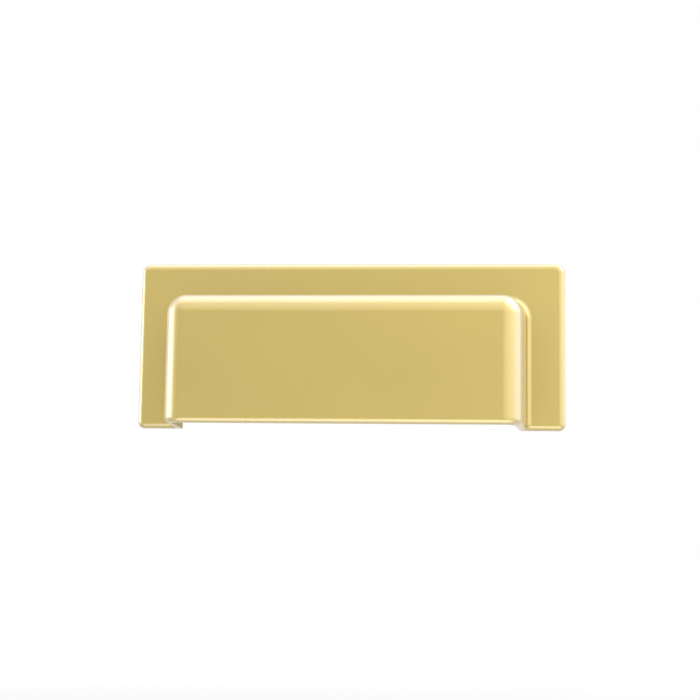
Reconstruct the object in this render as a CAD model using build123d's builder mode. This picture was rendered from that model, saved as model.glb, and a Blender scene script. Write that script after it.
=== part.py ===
from build123d import *
import os
from math import cos, radians, tan

# A rectangular cup pull for a drawer or a cabinet door, cast in one piece.
# A thin flange lies flat on the drawer front. A box-shaped hood stands out of it, open below for the
# fingers and open behind, where the drawer front closes it. Two posts inside the hood take the machine
# screws that come through the drawer front from inside the drawer.
# The origin is midway between the two screw holes, on the back face. +X runs along the pull, +Y goes
# into the drawer front and +Z is up. Sizes are in millimetres and angles in degrees.

# Overall: the length follows from the screw spacing, which such pulls are sold by
hole_spacing = 76.0
height = 44.4
projection = 25.0
wall = 2.0
draft_angle = 3.0

# Flange, and how far it shows round the hood
end_margin = 10.1
top_margin = 10.0
flange_thickness = 2.0

# Hood, at the face of the flange
hood_beyond_hole = 8.9
hole_below_hood_top = 10.4

# Rounds
front_round = 4.7
root_round = 1.4
edge_round = 1.6
inner_edge_round = 0.3

# The most that the round of a rim may take of the thickness behind it
rim_share = 0.8

# Corner radii that are left on the flat faces, inside the rounds of their edges
front_face_corner = 0.3
flange_face_top_corner = 0.8
flange_face_lower_corner = 0.15

# Screw posts, with tapping holes for an M4 thread
post_diameter = 7.0
post_draft = 1.0
post_root_round = 1.0
thread_core_diameter = 3.3
hole_depth = 14.0
hole_mouth_chamfer = 0.4
drill_point_angle = 118.0

# Places that follow from these
slope = tan(radians(draft_angle))
hood_half_width = hole_spacing / 2 + hood_beyond_hole
length = 2 * (hood_half_width + end_margin)
hood_height = height - top_margin
lower_edge = hole_below_hood_top - hood_height
rim_round = min(edge_round, rim_share * wall, rim_share * flange_thickness)
flange_top_corner = rim_round + flange_face_top_corner
flange_lower_corner = rim_round + flange_face_lower_corner

# The back face as seen from the front, with its origin at the middle of the lower edge
back_face = Plane(origin=(0, 0, lower_edge), x_dir=(1, 0, 0), z_dir=(0, -1, 0))


def hood_form(inset):
    """The drafted box of the hood, drawn in by inset: 0 for its outside and the wall for its hollow."""
    side_inset = inset / cos(radians(draft_angle))
    half_width = hood_half_width + flange_thickness * slope - side_inset
    top = hood_height + flange_thickness * slope - side_inset
    with BuildPart() as form:
        with BuildSketch(back_face):
            with Locations((0, top)):
                Rectangle(2 * half_width, top + inset, align=(Align.CENTER, Align.MAX))
        extrude(amount=projection - inset)
        closed_sides = form.faces().filter_by(Axis.Y, reverse=True).sort_by(Axis.Z)[1:]
        draft(closed_sides, neutral_plane=back_face, angle=draft_angle)
        upper_corners = form.edges().group_by(Axis.Y)[1].group_by(Axis.Z)[-1]
        fillet(upper_corners, front_round + front_face_corner - inset)
        front_edges = form.faces().sort_by(Axis.Y)[0].edges().sort_by(Axis.Z)[1:]
        fillet(front_edges, front_round - inset)
    return form.part


def beyond_hood(edge):
    """Is this edge of the flange's face clear of the hood, and not a part of its lower edge?"""
    at = edge.center()
    # The middle of a lower corner's arc lies higher than a quarter of its radius
    above_lower_edge = at.Z > lower_edge + flange_lower_corner / 4
    beyond_end = abs(at.X) > hood_half_width + end_margin / 2
    beyond_top = at.Z > lower_edge + hood_height + top_margin / 2
    return above_lower_edge and (beyond_end or beyond_top)


with BuildPart() as screw_hole:
    core_radius = thread_core_diameter / 2
    point_length = core_radius / tan(radians(drill_point_angle / 2))
    with BuildSketch(Plane.YZ):
        with BuildLine():
            Polyline(
                (0, 0),
                (0, core_radius + hole_mouth_chamfer),
                (-hole_mouth_chamfer, core_radius),
                (-hole_depth, core_radius),
                (-hole_depth - point_length, 0),
                close=True,
            )
        make_face()
    revolve(axis=Axis.Y)

# A web as wide as the post joins it to the nearer end wall. Both end halfway through the hood's walls.
with BuildPart() as posts:
    with BuildSketch(back_face):
        with Locations((hole_spacing / 2, -lower_edge)):
            Circle(post_diameter / 2)
            Rectangle(hood_beyond_hole, post_diameter, align=(Align.MIN, Align.CENTER))
    extrude(amount=projection, taper=-post_draft)
    add(hood_form(wall / 2), mode=Mode.INTERSECT)
    mirror(about=Plane.YZ)

with BuildPart() as cup_pull:
    with BuildSketch(back_face):
        Rectangle(length, height, align=(Align.CENTER, Align.MIN))
        fillet(vertices().group_by(Axis.Y)[-1], flange_top_corner)
        fillet(vertices().group_by(Axis.Y)[0], flange_lower_corner)
    extrude(amount=flange_thickness)
    add(hood_form(0))
    hood_root = edges(Select.NEW)
    fillet(hood_root, root_round)

    # One round runs along the flange's outline and, below, on along the lower rim of the hood
    flange_face = faces().filter_by(Axis.Y).sort_by(Axis.Y)[1]
    outline = flange_face.edges().filter_by(beyond_hood)
    lower_rim = edges().group_by(Axis.Z)[0].filter_by(Axis.Y, reverse=True).sort_by(Axis.Y)[:-1]
    fillet(outline + lower_rim, rim_round)

    add(hood_form(wall), mode=Mode.SUBTRACT)
    inner_lower_rim = edges(Select.NEW).group_by(Axis.Z)[0]
    fillet(inner_lower_rim, inner_edge_round)

    add(posts.part)
    post_roots = edges(Select.NEW)
    fillet(post_roots, post_root_round)
    with GridLocations(hole_spacing, 0, 2, 1):
        add(screw_hole.part, mode=Mode.SUBTRACT)

cup_pull.part.label = "cup_pull"
os.makedirs("parts", exist_ok=True)
export_step(cup_pull.part, "parts/cup_pull.step")
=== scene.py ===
from math import ceil, cos, pi, radians, sin, tan

import bmesh
import bpy
import numpy as np
from mathutils import Matrix, Vector


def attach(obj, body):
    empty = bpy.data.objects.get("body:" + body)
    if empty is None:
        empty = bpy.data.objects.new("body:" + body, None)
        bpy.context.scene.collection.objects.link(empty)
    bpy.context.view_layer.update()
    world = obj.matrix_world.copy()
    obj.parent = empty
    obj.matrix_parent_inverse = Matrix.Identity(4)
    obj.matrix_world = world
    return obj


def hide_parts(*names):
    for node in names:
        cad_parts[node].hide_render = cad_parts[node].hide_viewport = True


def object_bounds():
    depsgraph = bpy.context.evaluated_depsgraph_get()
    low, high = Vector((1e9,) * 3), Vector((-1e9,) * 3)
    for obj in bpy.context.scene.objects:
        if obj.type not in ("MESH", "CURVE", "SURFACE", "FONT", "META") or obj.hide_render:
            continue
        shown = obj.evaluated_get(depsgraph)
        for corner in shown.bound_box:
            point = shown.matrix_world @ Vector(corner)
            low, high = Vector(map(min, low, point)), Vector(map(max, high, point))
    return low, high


bl_info = {
    "name": "Cup Pull",
    "version": (1, 0, 0),
    "blender": (4, 5, 0),
    "location": "3D View > Sidebar > Cup Pull",
    "description": "Makes a cast cup pull in satin brass with tapped screw holes, and a studio for it",
    "category": "Object",
}

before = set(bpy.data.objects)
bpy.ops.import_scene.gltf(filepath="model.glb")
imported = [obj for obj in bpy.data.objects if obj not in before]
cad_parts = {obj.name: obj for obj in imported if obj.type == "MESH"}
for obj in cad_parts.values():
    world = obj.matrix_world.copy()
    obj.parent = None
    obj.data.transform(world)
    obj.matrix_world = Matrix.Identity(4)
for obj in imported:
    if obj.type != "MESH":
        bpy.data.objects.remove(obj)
cad_low, cad_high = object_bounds()
MM = 0.001

# Corners nearer together than this are one, first in the thread's mesh and then where it joins the casting
SAME_PLACE = 0.001 * MM
WELD_DISTANCE = 0.002 * MM

# How far a corner may lie outside a screw hole, or a face outside the hollow, and still belong to it
HOLE_MARGIN = 0.01 * MM
HOLLOW_MARGIN = 0.1 * MM

# The rounds of the hood's front lie within this distance of it
FRONT_DEPTH = 6.0 * MM

# A face looks forward when the share of its normal along Y is no more than this
FORWARD_LIMIT = -0.1

# A screw hole with fewer sides than this can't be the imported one
FEWEST_SEGMENTS = 12

# A metric thread's flanks stand at this angle to the middle plane of its groove
FLANK_ANGLE = radians(30.0)

# Faces of the thread that meet at more than this angle keep a sharp edge
SHARP_ANGLE = radians(40.0)

# Clouds in the coat: their size, the part of the noise's range that they use, and how far they change the
# colour (as a share of it) and the roughness
CLOUD_SIZE = 22 * MM
CLOUD_RANGE = (0.3, 0.7)
CLOUD_CONTRAST = 0.015
CLOUD_ROUGHNESS = 0.02

# Grain: its depth, the heights at which a pit begins and is full, and what a pit leaves of the colour
GRAIN_DEPTH = 0.1 * MM
PIT_HEIGHTS = (0.36, 0.26)
PIT_TINT = (0.93, 0.91, 0.88, 1.0)

# Painted sheen, in pairs: how far a surface is turned, from facing the eye to edge-on, and how much of the
# pale colour painted in as sheen it has
PAINTED_SHEEN_CURVE = ((0.04, 0.0), (0.25, 0.5), (0.45, 0.85), (0.6, 1.0), (0.78, 0.7), (1.0, 0.1))

# The hollow of the hood: the share of the colour that it keeps under painted shade, the share of the
# lacquer that it has, and its roughness
HOLLOW_PAINTED_SHADE = 0.7
HOLLOW_LACQUER = 0.2
HOLLOW_ROUGHNESS = 0.68

# The floor: half its width, its colour and the distances over which it turns to the surround's white
FLOOR_HALF = 4.0
FLOOR_COLOUR = (0.555, 0.556, 0.474, 1.0)
FLOOR_FADE = (0.15, 0.6)

# The strength of the surround as a light, and as it is seen
SURROUND_LIGHT = 0.9
SURROUND_SEEN = 1.0

# Light colours, from the plainest to the bluest
WHITE = (0.98, 0.958, 1.23)
WHITE_AT_RIGHT = (0.965, 0.96, 1.27)
COOL_WHITE = (0.965, 0.955, 1.31)
COOL_WHITE_AT_RIGHT = (0.92, 0.955, 1.42)
WHITE_BELOW = (0.95, 0.95, 1.55)

# Each lamp's name, degrees to the right and up as counted from the front, distance, size, the power in the
# studio's settings that it goes by, its share of that power, and its colour
LAMPS = (
    ("top_box", 0.0, 92.0, 0.6, (0.7, 0.62), "top_power", 1.0, COOL_WHITE),
    ("right_corner_box", 84.0, 44.0, 0.6, (0.62, 0.54), "top_power", 1.6, COOL_WHITE),
    ("left_corner_box", -85.0, 45.0, 0.6, (0.4, 0.35), "top_power", 0.2, WHITE),
    ("left_box", -86.0, 6.0, 0.6, (0.38, 0.4), "left_power", 1.0, WHITE),
    ("right_box", 97.0, 6.0, 0.6, (0.7, 0.4), "right_power", 1.0, COOL_WHITE_AT_RIGHT),
    ("top_fill", 0.0, 37.0, 0.6, (0.7, 0.4), "fill_power", 0.87, WHITE),
    ("right_fill", 39.0, 10.0, 0.42, (0.385, 0.28), "fill_power", 0.41, WHITE_AT_RIGHT),
)

# The last lamp lies in front of the hood's lip and below it, and faces straight up, so that it leaves the
# floor alone
STRIP_PLACE = (0.03, -0.08, 0.0)
STRIP_DROP = 0.1
STRIP_SIZE = (0.22, 0.1)
STRIP_SHARE = 0.158

# Where the photograph was taken from: a little to the right of the pull and below it, looking up
CAMERA_PLACE = (0.0535, -0.51672, -0.05825)
CAMERA_YAW = radians(5.97)
CAMERA_PITCH = radians(8.748)
CAMERA_ROLL = radians(0.795)


class SatinBrassSettings(bpy.types.PropertyGroup):
    """The finish of the casting."""

    colour: bpy.props.FloatVectorProperty(
        name="Colour",
        description="Colour of the brass plating under its lacquer",
        subtype="COLOR",
        size=3,
        min=0.0,
        max=1.0,
        default=(0.457, 0.347, 0.0615),
    )
    # A paler colour, painted in as sheen where the surface turns from the eye
    painted_sheen_colour: bpy.props.FloatVectorProperty(
        name="Pale colour",
        description="Colour of the plating as seen at a low angle",
        subtype="COLOR",
        size=3,
        min=0.0,
        max=1.0,
        default=(0.47, 0.392, 0.17),
    )
    roughness: bpy.props.FloatProperty(
        name="Roughness",
        description="How far the satin surface spreads a reflection",
        subtype="FACTOR",
        min=0.05,
        max=1.0,
        default=0.45,
    )
    lacquer: bpy.props.FloatProperty(
        name="Lacquer",
        description="Weight of the clear lacquer over the plating",
        subtype="FACTOR",
        min=0.0,
        max=1.0,
        default=1.0,
    )
    grain_size: bpy.props.FloatProperty(
        name="Grain size",
        description="Size of the fine grain that blasting leaves",
        subtype="DISTANCE",
        unit="LENGTH",
        min=0.05 * MM,
        max=5.0 * MM,
        default=0.35 * MM,
    )


class HoodSettings(bpy.types.PropertyGroup):
    """The hood, as far as it tells its hollow and its root from the rest."""

    half_width: bpy.props.FloatProperty(
        name="Half width",
        description="Half the outside width of the hood at the back face",
        subtype="DISTANCE",
        unit="LENGTH",
        default=47.005 * MM,
    )
    top: bpy.props.FloatProperty(
        name="Top",
        description="Height of the hood's outside top over the screw holes, at the back face",
        subtype="DISTANCE",
        unit="LENGTH",
        default=10.505 * MM,
    )
    projection: bpy.props.FloatProperty(
        name="Projection",
        description="How far the hood stands out of the back face",
        subtype="DISTANCE",
        unit="LENGTH",
        default=25.0 * MM,
    )
    wall: bpy.props.FloatProperty(
        name="Wall",
        description="Thickness of the hood's walls",
        subtype="DISTANCE",
        unit="LENGTH",
        default=2.0 * MM,
    )
    draft: bpy.props.FloatProperty(
        name="Draft",
        description="Slope of the closed sides, which lets the casting leave its mould",
        subtype="ANGLE",
        unit="ROTATION",
        default=radians(3.0),
    )
    flange: bpy.props.FloatProperty(
        name="Flange",
        description="Thickness of the flange that the hood stands on",
        subtype="DISTANCE",
        unit="LENGTH",
        default=2.0 * MM,
    )
    root_round: bpy.props.FloatProperty(
        name="Root round",
        description="Radius of the round between the flange and the hood",
        subtype="DISTANCE",
        unit="LENGTH",
        default=1.4 * MM,
    )


class ScrewHoleSettings(bpy.types.PropertyGroup):
    """The tapped holes for the machine screws."""

    spacing: bpy.props.FloatProperty(
        name="Spacing",
        description="Distance between the two holes",
        subtype="DISTANCE",
        unit="LENGTH",
        default=76.0 * MM,
    )
    core_diameter: bpy.props.FloatProperty(
        name="Core diameter",
        description="Diameter of the drilled hole, over the crests of the thread",
        subtype="DISTANCE",
        unit="LENGTH",
        default=3.3 * MM,
    )
    thread_diameter: bpy.props.FloatProperty(
        name="Thread diameter",
        description="Diameter over the roots of the thread, as the screw is called by",
        subtype="DISTANCE",
        unit="LENGTH",
        default=4.0 * MM,
    )
    pitch: bpy.props.FloatProperty(
        name="Pitch",
        description="Distance from one turn of the thread to the next",
        subtype="DISTANCE",
        unit="LENGTH",
        default=0.7 * MM,
    )
    thread_depth: bpy.props.FloatProperty(
        name="Thread depth",
        description="How deep the thread reaches into the hole",
        subtype="DISTANCE",
        unit="LENGTH",
        default=11.0 * MM,
    )
    hole_depth: bpy.props.FloatProperty(
        name="Hole depth",
        description="Depth of the drilled hole, without its point",
        subtype="DISTANCE",
        unit="LENGTH",
        default=14.0 * MM,
    )
    mouth_chamfer: bpy.props.FloatProperty(
        name="Mouth chamfer",
        description="Chamfer at the mouth of the hole",
        subtype="DISTANCE",
        unit="LENGTH",
        default=0.4 * MM,
    )
    point_angle: bpy.props.FloatProperty(
        name="Point angle",
        description="Angle of the drill's point",
        subtype="ANGLE",
        unit="ROTATION",
        default=radians(118.0),
    )
    steps: bpy.props.IntProperty(
        name="Steps",
        description="Rows of faces in one turn of the thread",
        min=4,
        max=40,
        default=10,
    )


class StudioSettings(bpy.types.PropertyGroup):
    """The floor and the lamps."""

    floor_drop: bpy.props.FloatProperty(
        name="Floor drop",
        description="How far the floor lies below the casting",
        subtype="DISTANCE",
        unit="LENGTH",
        min=0.0,
        max=1.0,
        default=0.1,
    )
    top_power: bpy.props.FloatProperty(
        name="Top box",
        description="Power of the soft box over the casting, which the two at its upper corners go by",
        unit="POWER",
        min=0.0,
        default=2.25,
    )
    left_power: bpy.props.FloatProperty(
        name="Left box",
        description="Power of the soft box at the left",
        unit="POWER",
        min=0.0,
        default=1.65,
    )
    right_power: bpy.props.FloatProperty(
        name="Right box",
        description="Power of the soft box at the right",
        unit="POWER",
        min=0.0,
        default=0.9,
    )
    fill_power: bpy.props.FloatProperty(
        name="Fill",
        description="Power that the two fill lamps in front and the strip under the lip go by",
        unit="POWER",
        min=0.0,
        default=0.76,
    )


def calculate(tree, operation, *values, clamp=False):
    """The result of a Math node in a tree. A value is a number or another node's output."""
    node = tree.nodes.new("ShaderNodeMath")
    node.operation = operation
    node.use_clamp = clamp
    for socket, value in zip(node.inputs, values):
        if isinstance(value, (int, float)):
            socket.default_value = value
        else:
            tree.links.new(value, socket)
    return node.outputs[0]


def new_group(name, inputs, outputs):
    """An empty shader node group with named inputs and outputs: (name, kind of socket, default)."""
    group = bpy.data.node_groups.new(name, "ShaderNodeTree")
    for label, kind, default in inputs:
        socket = group.interface.new_socket(name=label, in_out="INPUT", socket_type=kind)
        if default is not None:
            socket.default_value = default
    for label, kind in outputs:
        group.interface.new_socket(name=label, in_out="OUTPUT", socket_type=kind)
    return group


def new_noise(group, start, detail, roughness):
    """A noise in a group, with marks as large as the group's Size, at the group's Position."""
    noise = group.nodes.new("ShaderNodeTexNoise")
    noise.inputs["Detail"].default_value = detail
    noise.inputs["Roughness"].default_value = roughness
    scale = calculate(group, "DIVIDE", 1.0, start.outputs["Size"])
    group.links.new(start.outputs["Position"], noise.inputs["Vector"])
    group.links.new(scale, noise.inputs["Scale"])
    return noise.outputs["Fac"]


def cloud_group():
    """Soft, large clouds from 0 to 1, such as an uneven coat leaves."""
    group = new_group(
        "Soft clouds",
        [("Position", "NodeSocketVector", None), ("Size", "NodeSocketFloat", CLOUD_SIZE)],
        [("Cloud", "NodeSocketFloat")],
    )
    start = group.nodes.new("NodeGroupInput")
    end = group.nodes.new("NodeGroupOutput")
    noise = new_noise(group, start, 2.0, 0.45)
    group.links.new(noise, end.inputs["Cloud"])
    return group


def grain_group():
    """The fine grain of a blasted surface: a height and a mask of its deeper pits."""
    group = new_group(
        "Fine grain",
        [("Position", "NodeSocketVector", None), ("Size", "NodeSocketFloat", 0.3 * MM)],
        [("Height", "NodeSocketFloat"), ("Pits", "NodeSocketFloat")],
    )
    start = group.nodes.new("NodeGroupInput")
    end = group.nodes.new("NodeGroupOutput")
    noise = new_noise(group, start, 3.0, 0.6)
    pits = group.nodes.new("ShaderNodeMapRange")
    pits.inputs["From Min"].default_value = PIT_HEIGHTS[0]
    pits.inputs["From Max"].default_value = PIT_HEIGHTS[1]
    group.links.new(noise, pits.inputs["Value"])
    group.links.new(noise, end.inputs["Height"])
    group.links.new(pits.outputs["Result"], end.inputs["Pits"])
    return group


def place_group(tree, group, position, size):
    """Puts one of the groups above into a material, at a position and with the size of its marks."""
    node = tree.nodes.new("ShaderNodeGroup")
    node.node_tree = group
    node.inputs["Size"].default_value = size
    tree.links.new(position, node.inputs["Position"])
    return node


def mix_colours(tree, share, first, second, blend="MIX"):
    """Blends a second colour over a first one by a share. Only the first may be another node's output."""
    mix = tree.nodes.new("ShaderNodeMix")
    mix.data_type = "RGBA"
    mix.blend_type = blend
    factor, start, end = mix.inputs[0], mix.inputs[6], mix.inputs[7]
    tree.links.new(share, factor)
    if isinstance(first, bpy.types.NodeSocket):
        tree.links.new(first, start)
    else:
        start.default_value = first
    end.default_value = second
    return mix.outputs[2]


def lacquered_brass(settings):
    """Lacquered satin brass: even, with a fine grain, faint clouds, painted sheen as it turns from the eye
    and painted shade in the hollow.
    """
    material = bpy.data.materials.new("lacquered_satin_brass")
    material.use_nodes = True
    tree = material.node_tree
    nodes, links = tree.nodes, tree.links
    shader = nodes["Principled BSDF"]
    shader.inputs["Metallic"].default_value = 1.0
    shader.inputs["Coat Roughness"].default_value = 0.25
    shader.inputs["Coat IOR"].default_value = 1.8

    position = nodes.new("ShaderNodeTexCoord").outputs["Object"]
    clouds = place_group(tree, cloud_group(), position, CLOUD_SIZE)
    grain = place_group(tree, grain_group(), position, settings.grain_size)
    base = Vector(settings.colour)
    darker = (*(base * (1 - CLOUD_CONTRAST)), 1.0)
    lighter = (*(base * (1 + CLOUD_CONTRAST)), 1.0)
    colour = mix_colours(tree, clouds.outputs["Cloud"], darker, lighter)
    colour = mix_colours(tree, grain.outputs["Pits"], colour, PIT_TINT, "MULTIPLY")

    # Painted sheen: a pale colour is mixed in as the surface turns from the eye, but not on the round at
    # the hood's root
    angle = nodes.new("ShaderNodeLayerWeight")
    sheen_by_angle = nodes.new("ShaderNodeFloatCurve")
    curve = sheen_by_angle.mapping.curves[0]
    curve.points[0].location, curve.points[1].location = PAINTED_SHEEN_CURVE[0], PAINTED_SHEEN_CURVE[-1]
    for facing, share in PAINTED_SHEEN_CURVE[1:-1]:
        curve.points.new(facing, share)
    sheen_by_angle.mapping.update()
    links.new(angle.outputs["Facing"], sheen_by_angle.inputs["Value"])
    root = nodes.new("ShaderNodeAttribute")
    root.attribute_name = "root"
    sheen_off_root = nodes.new("ShaderNodeMapRange")
    sheen_off_root.inputs["To Max"].default_value = 0.0
    links.new(root.outputs["Fac"], sheen_off_root.inputs["Value"])
    links.new(sheen_by_angle.outputs["Value"], sheen_off_root.inputs["To Min"])
    # The pale colour of the painted sheen
    pale = (*settings.painted_sheen_colour, 1.0)
    colour = mix_colours(tree, sheen_off_root.outputs["Result"], colour, pale)

    # Inside the hood the colour is darkened as painted shade, and the casting is rougher and hardly
    # lacquered there
    hollow = nodes.new("ShaderNodeAttribute")
    hollow.attribute_name = "hollow"
    painted_hollow_shade = (*(base * HOLLOW_PAINTED_SHADE), 1.0)
    colour = mix_colours(tree, hollow.outputs["Fac"], colour, painted_hollow_shade)
    links.new(colour, shader.inputs["Base Color"])
    lacquer = nodes.new("ShaderNodeMapRange")
    lacquer.inputs["To Min"].default_value = settings.lacquer
    lacquer.inputs["To Max"].default_value = HOLLOW_LACQUER * settings.lacquer
    links.new(hollow.outputs["Fac"], lacquer.inputs["Value"])
    links.new(lacquer.outputs["Result"], shader.inputs["Coat Weight"])

    cloudy = nodes.new("ShaderNodeMapRange")
    cloudy.inputs["From Min"].default_value = CLOUD_RANGE[0]
    cloudy.inputs["From Max"].default_value = CLOUD_RANGE[1]
    cloudy.inputs["To Min"].default_value = settings.roughness - CLOUD_ROUGHNESS
    cloudy.inputs["To Max"].default_value = settings.roughness + CLOUD_ROUGHNESS
    links.new(clouds.outputs["Cloud"], cloudy.inputs["Value"])
    rougher = nodes.new("ShaderNodeMix")
    factor, start, end = rougher.inputs[0], rougher.inputs[2], rougher.inputs[3]
    end.default_value = HOLLOW_ROUGHNESS
    links.new(hollow.outputs["Fac"], factor)
    links.new(cloudy.outputs["Result"], start)
    links.new(rougher.outputs[0], shader.inputs["Roughness"])

    bump = nodes.new("ShaderNodeBump")
    bump.inputs["Strength"].default_value = 0.06
    bump.inputs["Distance"].default_value = GRAIN_DEPTH
    links.new(grain.outputs["Height"], bump.inputs["Height"])
    links.new(bump.outputs["Normal"], shader.inputs["Normal"])
    return material


def seen_directly(tree):
    """1 for what the camera sees, straight or by way of something shiny or clear, and 0 for the rest."""
    path = tree.nodes.new("ShaderNodeLightPath").outputs
    seen_or_shiny = calculate(tree, "ADD", path["Is Camera Ray"], path["Is Glossy Ray"])
    return calculate(tree, "ADD", seen_or_shiny, path["Is Transmission Ray"], clamp=True)


def floor_white():
    """A pale matt floor that turns to the plain white of the surround further out."""
    material = bpy.data.materials.new("floor_white")
    material.use_nodes = True
    tree = material.node_tree
    nodes, links = tree.nodes, tree.links
    shader = nodes["Principled BSDF"]
    shader.inputs["Base Color"].default_value = FLOOR_COLOUR
    shader.inputs["Roughness"].default_value = 0.9
    shader.inputs["Specular IOR Level"].default_value = 0.0
    reach = nodes.new("ShaderNodeVectorMath")
    reach.operation = "LENGTH"
    links.new(nodes.new("ShaderNodeTexCoord").outputs["Object"], reach.inputs[0])
    far = nodes.new("ShaderNodeMapRange")
    far.interpolation_type = "SMOOTHSTEP"
    far.inputs["From Min"].default_value = FLOOR_FADE[0]
    far.inputs["From Max"].default_value = FLOOR_FADE[1]
    links.new(reach.outputs["Value"], far.inputs["Value"])
    share = calculate(tree, "MULTIPLY", far.outputs["Result"], seen_directly(tree))
    white = nodes.new("ShaderNodeEmission")
    white.inputs["Strength"].default_value = SURROUND_SEEN
    mix = nodes.new("ShaderNodeMixShader")
    links.new(share, mix.inputs[0])
    links.new(shader.outputs[0], mix.inputs[1])
    links.new(white.outputs[0], mix.inputs[2])
    links.new(mix.outputs[0], nodes["Material Output"].inputs["Surface"])
    return material


def soft_box(name, target, round_degrees, up_degrees, distance, size, power, colour):
    """An area lamp that faces target: round it to the right and up over it, both counted from the front."""
    across, over = radians(round_degrees), radians(up_degrees)
    side = Vector((cos(across), sin(across), 0.0))
    back = Vector((sin(across) * cos(over), -cos(across) * cos(over), sin(over)))
    light = bpy.data.lights.new(name, "AREA")
    light.shape = "RECTANGLE"
    light.size, light.size_y = size
    light.energy = power
    light.color = colour
    lamp = bpy.data.objects.new(name, light)
    turn = Matrix((side, back.cross(side), back)).transposed().to_4x4()
    lamp.matrix_world = Matrix.Translation(target + distance * back) @ turn
    lamp.visible_camera = False
    bpy.context.scene.collection.objects.link(lamp)


def threaded_holes_tree():
    """Geometry Nodes for tapped holes: a grid is rolled round each axis, with its rows along the helix."""
    tree = bpy.data.node_groups.new("Threaded holes", "GeometryNodeTree")
    lengths = (
        "Spacing",
        "Core radius",
        "Thread radius",
        "Pitch",
        "Thread depth",
        "Hole depth",
        "Mouth chamfer",
        "Point length",
    )
    for name in lengths:
        socket = tree.interface.new_socket(name=name, in_out="INPUT", socket_type="NodeSocketFloat")
        socket.subtype = "DISTANCE"
    for name in ("Segments", "Turns", "Steps"):
        tree.interface.new_socket(name=name, in_out="INPUT", socket_type="NodeSocketInt")
    tree.interface.new_socket(name="Material", in_out="INPUT", socket_type="NodeSocketMaterial")
    tree.interface.new_socket(name="Geometry", in_out="OUTPUT", socket_type="NodeSocketGeometry")
    given = tree.nodes.new("NodeGroupInput").outputs

    def math(operation, *values, clamp=False):
        return calculate(tree, operation, *values, clamp=clamp)

    grid = tree.nodes.new("GeometryNodeMeshGrid")
    grid.inputs["Size X"].default_value = 1.0
    grid.inputs["Size Y"].default_value = 1.0
    tree.links.new(math("ADD", given["Segments"], 1), grid.inputs["Vertices X"])
    rows = math("MULTIPLY", given["Turns"], given["Steps"])
    tree.links.new(math("ADD", rows, 1), grid.inputs["Vertices Y"])
    place = tree.nodes.new("ShaderNodeSeparateXYZ")
    tree.links.new(tree.nodes.new("GeometryNodeInputPosition").outputs[0], place.inputs[0])
    round_share = math("ADD", place.outputs["X"], 0.5)
    row_turns = math("MULTIPLY", math("ADD", place.outputs["Y"], 0.5), given["Turns"])

    # Depth below the mouth: each row drops by one pitch in a full turn, and stops at the mouth and at the
    # drill's point
    slant = math("SUBTRACT", row_turns, math("SUBTRACT", 1.0, round_share))
    end = math("ADD", given["Hole depth"], given["Point length"])
    depth = math("MINIMUM", math("MAXIMUM", math("MULTIPLY", slant, given["Pitch"]), 0.0), end)

    # The groove: two flanks and a flat root an eighth of the pitch wide
    turns_off_middle = math("ABSOLUTE", math("SUBTRACT", math("FRACT", row_turns), 0.5))
    from_middle = math("MULTIPLY", turns_off_middle, given["Pitch"])
    full = math("SUBTRACT", given["Thread radius"], given["Core radius"])
    flank = math("MULTIPLY", full, tan(FLANK_ANGLE))
    half_root = math("DIVIDE", given["Pitch"], 16.0)
    half_mouth = math("ADD", flank, half_root)
    share = math("DIVIDE", math("SUBTRACT", half_mouth, from_middle), flank, clamp=True)
    run_out = math("DIVIDE", math("SUBTRACT", given["Thread depth"], depth), given["Pitch"], clamp=True)
    thread = math("ADD", given["Core radius"], math("MULTIPLY", math("MULTIPLY", share, run_out), full))
    chamfer = math("SUBTRACT", math("ADD", given["Core radius"], given["Mouth chamfer"]), depth)
    to_end = math("SUBTRACT", end, depth)
    cone = math("DIVIDE", math("MULTIPLY", to_end, given["Core radius"]), given["Point length"])
    radius = math("MINIMUM", math("MAXIMUM", thread, chamfer), cone)

    # Clockwise as seen from behind, so that the thread is right-handed
    turn = math("MULTIPLY", round_share, 2 * pi)
    spot = tree.nodes.new("ShaderNodeCombineXYZ")
    tree.links.new(math("MULTIPLY", math("SINE", turn), math("MULTIPLY", radius, -1.0)), spot.inputs["X"])
    tree.links.new(math("MULTIPLY", depth, -1.0), spot.inputs["Y"])
    tree.links.new(math("MULTIPLY", math("COSINE", turn), radius), spot.inputs["Z"])
    rolled = tree.nodes.new("GeometryNodeSetPosition")
    tree.links.new(grid.outputs["Mesh"], rolled.inputs["Geometry"])
    tree.links.new(spot.outputs[0], rolled.inputs["Position"])
    welded = tree.nodes.new("GeometryNodeMergeByDistance")
    welded.inputs["Distance"].default_value = SAME_PLACE
    tree.links.new(rolled.outputs[0], welded.inputs["Geometry"])
    turned = tree.nodes.new("GeometryNodeFlipFaces")
    tree.links.new(welded.outputs[0], turned.inputs["Mesh"])

    # One hole at each end of a line as long as the spacing
    ends = tree.nodes.new("GeometryNodeMeshLine")
    ends.mode = "END_POINTS"
    ends.inputs["Count"].default_value = 2
    for socket, sign in (("Start Location", -0.5), ("Offset", 0.5)):
        corner = tree.nodes.new("ShaderNodeCombineXYZ")
        tree.links.new(math("MULTIPLY", given["Spacing"], sign), corner.inputs["X"])
        tree.links.new(corner.outputs[0], ends.inputs[socket])
    holes = tree.nodes.new("GeometryNodeInstanceOnPoints")
    tree.links.new(ends.outputs["Mesh"], holes.inputs["Points"])
    tree.links.new(turned.outputs["Mesh"], holes.inputs["Instance"])
    real = tree.nodes.new("GeometryNodeRealizeInstances")
    tree.links.new(holes.outputs["Instances"], real.inputs["Geometry"])
    finished = tree.nodes.new("GeometryNodeSetMaterial")
    tree.links.new(real.outputs["Geometry"], finished.inputs["Geometry"])
    tree.links.new(given["Material"], finished.inputs["Material"])
    tree.links.new(finished.outputs["Geometry"], tree.nodes.new("NodeGroupOutput").inputs["Geometry"])
    return tree


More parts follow.
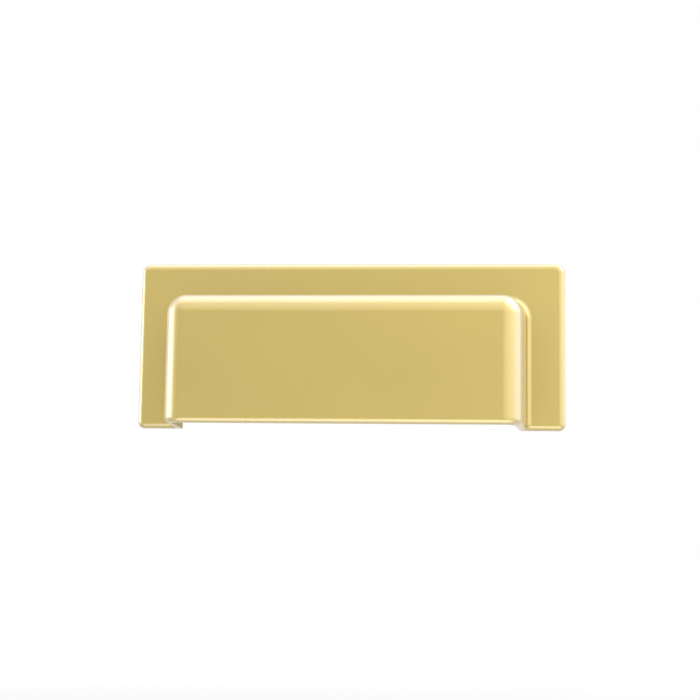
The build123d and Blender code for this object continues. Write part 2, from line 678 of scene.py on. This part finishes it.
def threaded_holes(settings, segments, finish):
    """The plain mesh of both tapped holes, from their mouths to the drill's points."""
    core_radius = settings.core_diameter / 2
    point_length = core_radius / tan(settings.point_angle / 2)
    tree = threaded_holes_tree()
    carrier = bpy.data.objects.new("threaded_holes", bpy.data.meshes.new("threaded_holes"))
    bpy.context.scene.collection.objects.link(carrier)
    modifier = carrier.modifiers.new("Threaded holes", "NODES")
    modifier.node_group = tree
    values = {
        "Spacing": settings.spacing,
        "Core radius": core_radius,
        "Thread radius": settings.thread_diameter / 2,
        "Pitch": settings.pitch,
        "Thread depth": settings.thread_depth,
        "Hole depth": settings.hole_depth,
        "Mouth chamfer": settings.mouth_chamfer,
        "Point length": point_length,
        "Segments": segments,
        "Turns": ceil((settings.hole_depth + point_length) / settings.pitch) + 1,
        "Steps": settings.steps,
        "Material": finish,
    }
    identifiers = {
        item.name: item.identifier for item in tree.interface.items_tree if item.in_out == "INPUT"
    }
    for name, value in values.items():
        modifier[identifiers[name]] = value
    depsgraph = bpy.context.evaluated_depsgraph_get()
    mesh = bpy.data.meshes.new_from_object(carrier.evaluated_get(depsgraph))
    bpy.data.objects.remove(carrier)
    mesh.polygons.foreach_set("use_smooth", [True] * len(mesh.polygons))
    mesh.set_sharp_from_angle(angle=SHARP_ANGLE)
    return mesh


def read_mesh(mesh):
    """A mesh's corners, its faces as lists of them, and the normal at each corner of each face."""
    places = np.empty(len(mesh.vertices) * 3)
    mesh.vertices.foreach_get("co", places)
    normals = np.empty(len(mesh.loops) * 3)
    mesh.corner_normals.foreach_get("vector", normals)
    return places.reshape(-1, 3), [list(face.vertices) for face in mesh.polygons], normals.reshape(-1, 3)


class CUPPULL_OT_casting(bpy.types.Operator):
    """Makes the cast cup pull with its tapped screw holes and gives it its satin brass finish"""

    bl_idname = "cup_pull.casting"
    bl_label = "Casting"

    def execute(self, context):
        scene = context.scene
        finish = lacquered_brass(scene.satin_brass)
        places, faces, normals = read_mesh(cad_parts["cup_pull"].data)
        mouth = scene.screw_holes.core_diameter / 2 + scene.screw_holes.mouth_chamfer
        off_axis = np.hypot(np.abs(places[:, 0]) - scene.screw_holes.spacing / 2, places[:, 2])
        near_hole = off_axis < mouth + HOLE_MARGIN
        on_mouth = near_hole & (places[:, 1] > -SAME_PLACE) & (places[:, 0] > 0)
        segments = len(np.unique(np.round(places[on_mouth] / MM, 3), axis=0))
        if segments < FEWEST_SEGMENTS:
            raise RuntimeError("the packed casting has no round screw hole where the settings say")

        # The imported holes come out, and the threaded ones take their place
        kept_faces, kept_normals, corner = [], [], 0
        for face in faces:
            if not all(near_hole[face]):
                kept_faces.append(face)
                kept_normals.append(normals[corner:corner + len(face)])
            corner += len(face)
        holes = threaded_holes(scene.screw_holes, segments, finish)
        hole_places, hole_faces, hole_normals = read_mesh(holes)
        bpy.data.meshes.remove(holes)
        shift = len(places)
        mesh = bpy.data.meshes.new("cup_pull_casting")
        mesh.from_pydata(
            np.concatenate([places, hole_places]).tolist(),
            [],
            kept_faces + [[index + shift for index in face] for face in hole_faces],
        )
        carried = mesh.attributes.new("carried_normal", "FLOAT_VECTOR", "CORNER")
        carried.data.foreach_set("vector", np.concatenate([*kept_normals, hole_normals]).ravel())
        self.weld(mesh)
        self.mark_regions(mesh, scene.hood)
        self.set_normals(mesh)
        mesh.materials.append(finish)
        casting = bpy.data.objects.new("cup_pull_casting", mesh)
        scene.collection.objects.link(casting)
        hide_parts("cup_pull")
        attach(casting, "root")
        return {"FINISHED"}

    def weld(self, mesh):
        """Joins the corners that lie on one spot, and leaves out those that no face uses."""
        shape = bmesh.new()
        shape.from_mesh(mesh)
        bmesh.ops.remove_doubles(shape, verts=shape.verts, dist=WELD_DISTANCE)
        loose = [corner for corner in shape.verts if not corner.link_faces]
        bmesh.ops.delete(shape, geom=loose, context="VERTS")
        open_edges = [edge for edge in shape.edges if len(edge.link_faces) != 2]
        if open_edges:
            raise RuntimeError(f"the casting isn't closed: {len(open_edges)} edges don't have two faces")
        shape.to_mesh(mesh)
        shape.free()

    def mark_regions(self, mesh, hood):
        """Marks the faces in the hood's hollow, which is left rough and gets painted shade, and those of
        the round at its root, which get no painted sheen.
        """
        centres = np.empty(len(mesh.polygons) * 3)
        mesh.polygons.foreach_get("center", centres)
        x, y, z = centres.reshape(-1, 3).T
        margin = hood.wall / cos(hood.draft) - HOLLOW_MARGIN
        slope = y * tan(hood.draft)
        inside = (np.abs(x) < hood.half_width + slope - margin) & (z < hood.top + slope - margin)
        inside &= y > -hood.projection + hood.wall - HOLLOW_MARGIN

        # The rounded corners of the outside reach in as far as that, but they look forward
        facings = np.empty(len(mesh.polygons) * 3)
        mesh.polygons.foreach_get("normal", facings)
        forward = facings.reshape(-1, 3)[:, 1] <= FORWARD_LIMIT
        near_front = y < -hood.projection + FRONT_DEPTH
        inside &= ~(near_front & forward)
        in_root = ~inside & forward & (y < -hood.flange) & (y > -hood.flange - hood.root_round)
        for name, faces in (("hollow", inside), ("root", in_root)):
            mark = mesh.attributes.new(name, "FLOAT", "FACE")
            mark.data.foreach_set("value", faces.astype(float))

    def set_normals(self, mesh):
        """Gives each corner the normal that its face had before the parts were joined."""
        mesh.polygons.foreach_set("use_smooth", [True] * len(mesh.polygons))
        normals = np.empty(len(mesh.loops) * 3)
        mesh.attributes["carried_normal"].data.foreach_get("vector", normals)
        mesh.normals_split_custom_set(normals.reshape(-1, 3).tolist())
        mesh.attributes.remove(mesh.attributes["carried_normal"])


class CUPPULL_OT_studio(bpy.types.Operator):
    """Adds the floor, the soft boxes, the white surround and the camera"""

    bl_idname = "cup_pull.studio"
    bl_label = "Studio"

    def execute(self, context):
        settings = context.scene.studio
        self.add_floor(settings)
        self.add_lamps(settings)
        self.add_surround(context.scene)
        self.add_camera(context.scene)
        context.scene.view_settings.view_transform = "Standard"
        return {"FINISHED"}

    def add_floor(self, settings):
        height = cad_low.z - settings.floor_drop
        mesh = bpy.data.meshes.new("floor")
        sides = ((-1, -1), (1, -1), (1, 1), (-1, 1))
        corners = [(across * FLOOR_HALF, along * FLOOR_HALF, height) for across, along in sides]
        mesh.from_pydata(corners, [], [(0, 1, 2, 3)])
        floor = bpy.data.objects.new("floor", mesh)
        bpy.context.scene.collection.objects.link(floor)
        mesh.materials.append(floor_white())

    def add_lamps(self, settings):
        middle = (cad_low + cad_high) / 2
        for name, round_degrees, up_degrees, distance, size, setting, share, colour in LAMPS:
            power = share * getattr(settings, setting)
            soft_box(name, middle, round_degrees, up_degrees, distance, size, power, colour)
        in_front = middle + Vector(STRIP_PLACE)
        power = STRIP_SHARE * settings.fill_power
        soft_box("low_strip", in_front, 0.0, -90.0, STRIP_DROP, STRIP_SIZE, power, WHITE_BELOW)

    def add_surround(self, scene):
        world = bpy.data.worlds.new("white_surround")
        world.use_nodes = True
        tree = world.node_tree
        background = tree.nodes["Background"]
        background.inputs["Color"].default_value = (1.0, 1.0, 1.0, 1.0)
        strength = tree.nodes.new("ShaderNodeMapRange")
        strength.inputs["To Min"].default_value = SURROUND_LIGHT
        strength.inputs["To Max"].default_value = SURROUND_SEEN
        tree.links.new(seen_directly(tree), strength.inputs["Value"])
        tree.links.new(strength.outputs["Result"], background.inputs["Strength"])
        scene.world = world

    def add_camera(self, scene):
        level = cos(CAMERA_PITCH)
        ahead = Vector((-sin(CAMERA_YAW) * level, cos(CAMERA_YAW) * level, sin(CAMERA_PITCH)))
        right = Vector((cos(CAMERA_YAW), sin(CAMERA_YAW), 0.0))
        up = right.cross(ahead)
        tilted_right = cos(CAMERA_ROLL) * right + sin(CAMERA_ROLL) * up
        tilted_up = cos(CAMERA_ROLL) * up - sin(CAMERA_ROLL) * right
        turn = Matrix((tilted_right, tilted_up, -ahead)).transposed().to_4x4()
        data = bpy.data.cameras.new("camera")
        data.sensor_width = 36.0
        data.lens = 100.38
        data.shift_y = -0.1286
        data.clip_start, data.clip_end = 0.01, 20.0
        camera = bpy.data.objects.new("camera", data)
        camera.matrix_world = Matrix.Translation(CAMERA_PLACE) @ turn
        scene.collection.objects.link(camera)
        scene.camera = camera


class CUPPULL_PT_panel(bpy.types.Panel):
    """Lists the steps that make the pull and its studio"""

    bl_idname = "CUPPULL_PT_panel"
    bl_label = "Cup Pull"
    bl_space_type = "VIEW_3D"
    bl_region_type = "UI"
    bl_category = "Cup Pull"

    def draw(self, context):
        layout = self.layout
        for group in SETTINGS:
            settings = getattr(context.scene, group)
            box = layout.box()
            for name in settings.__annotations__:
                box.prop(settings, name)
        for operator in OPERATORS:
            layout.operator(operator.bl_idname)


OPERATORS = (CUPPULL_OT_casting, CUPPULL_OT_studio)
SETTINGS = {
    "hood": HoodSettings,
    "screw_holes": ScrewHoleSettings,
    "satin_brass": SatinBrassSettings,
    "studio": StudioSettings,
}
CLASSES = (*SETTINGS.values(), *OPERATORS, CUPPULL_PT_panel)


def register():
    for item in CLASSES:
        bpy.utils.register_class(item)
    for name, settings in SETTINGS.items():
        setattr(bpy.types.Scene, name, bpy.props.PointerProperty(type=settings))


def unregister():
    for name in SETTINGS:
        delattr(bpy.types.Scene, name)
    for item in reversed(CLASSES):
        bpy.utils.unregister_class(item)


def main():
    register()
    bpy.ops.cup_pull.casting()
    bpy.ops.cup_pull.studio()


if __name__ == "__main__":
    main()
